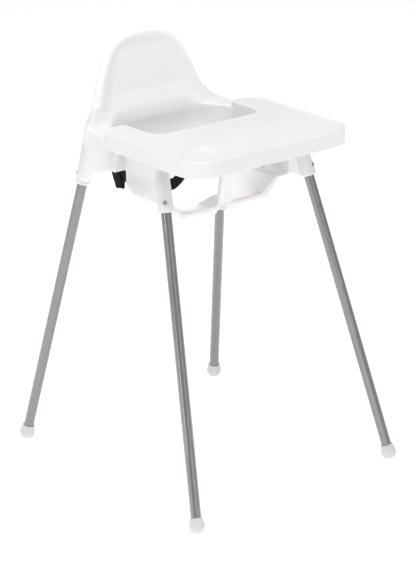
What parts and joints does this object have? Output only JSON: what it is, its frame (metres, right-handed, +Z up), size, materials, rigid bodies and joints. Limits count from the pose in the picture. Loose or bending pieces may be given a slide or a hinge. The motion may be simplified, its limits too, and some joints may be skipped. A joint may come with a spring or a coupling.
{
  "type": "high chair",
  "caption": "Baby high chair: one-piece moulded bucket seat with a tall back on splayed steel tube legs, lift-off tray, waist belt and snap-button leg sockets.",
  "frame": {"origin": "centre of the floor contact rectangle: bottom centre of the whole chair", "axes": "+Z up, the child faces -Y, +X is the child's left"},
  "size_m": [0.5714, 0.6141, 0.891],
  "materials": {
    "white_shell": "satin moulded polypropylene",
    "white_tray": "smooth moulded polypropylene",
    "grey_tube": "powder coat",
    "white_cap": "satin",
    "steel_button": "satin",
    "spring_steel": "satin",
    "black_webbing": "woven",
    "black_buckle": "satin"
  },
  "bodies": {
    "chair": {"seat_shell": "white_shell", "belt_left": "black_webbing", "belt_right": "black_webbing", "belt_loop_left": "black_webbing", "belt_loop_right": "black_webbing", "buckle_socket": "black_buckle", "leg_fl": "grey_tube", "foot_cap_fl": "white_cap", "snap_spring_fl": "spring_steel", "leg_fr": "grey_tube", "foot_cap_fr": "white_cap", "snap_spring_fr": "spring_steel", "leg_rl": "grey_tube", "foot_cap_rl": "white_cap", "snap_spring_rl": "spring_steel", "leg_rr": "grey_tube", "foot_cap_rr": "white_cap", "snap_spring_rr": "spring_steel"},
    "tray": {"tray": "white_tray"},
    "belt_plug": {"buckle_plug": "black_buckle"},
    "button_fl": {"snap_button_fl": "steel_button"},
    "button_fr": {"snap_button_fr": "steel_button"},
    "button_rl": {"snap_button_rl": "steel_button"},
    "button_rr": {"snap_button_rr": "steel_button"}
  },
  "joints": [
    {"name": "tray_lift", "type": "slide", "parent": "chair", "child": "tray", "axis": [0, 0, 1], "range_m": [0, 0.12]},
    {"name": "belt_plug_slide", "type": "slide", "parent": "chair", "child": "belt_plug", "axis": [-1, 0, 0], "range_m": [0, 0.025], "deforming": ["belt_left"]},
    {"name": "button_press_fl", "type": "slide", "parent": "chair", "child": "button_fl", "axis": [0.6147, 0.7252, -0.3101], "range_m": [0, 0.0045], "stiffness_N_per_m": 1200, "springref_m": -0.002, "deforming": ["snap_spring_fl"]},
    {"name": "button_press_fr", "type": "slide", "parent": "chair", "child": "button_fr", "axis": [-0.6147, 0.7252, -0.3101], "range_m": [0, 0.0045], "stiffness_N_per_m": 1200, "springref_m": -0.002, "deforming": ["snap_spring_fr"]},
    {"name": "button_press_rl", "type": "slide", "parent": "chair", "child": "button_rl", "axis": [0.6086, -0.7595, -0.2297], "range_m": [0, 0.0045], "stiffness_N_per_m": 1200, "springref_m": -0.002, "deforming": ["snap_spring_rl"]},
    {"name": "button_press_rr", "type": "slide", "parent": "chair", "child": "button_rr", "axis": [-0.6086, -0.7595, -0.2297], "range_m": [0, 0.0045], "stiffness_N_per_m": 1200, "springref_m": -0.002, "deforming": ["snap_spring_rr"]}
  ]
}
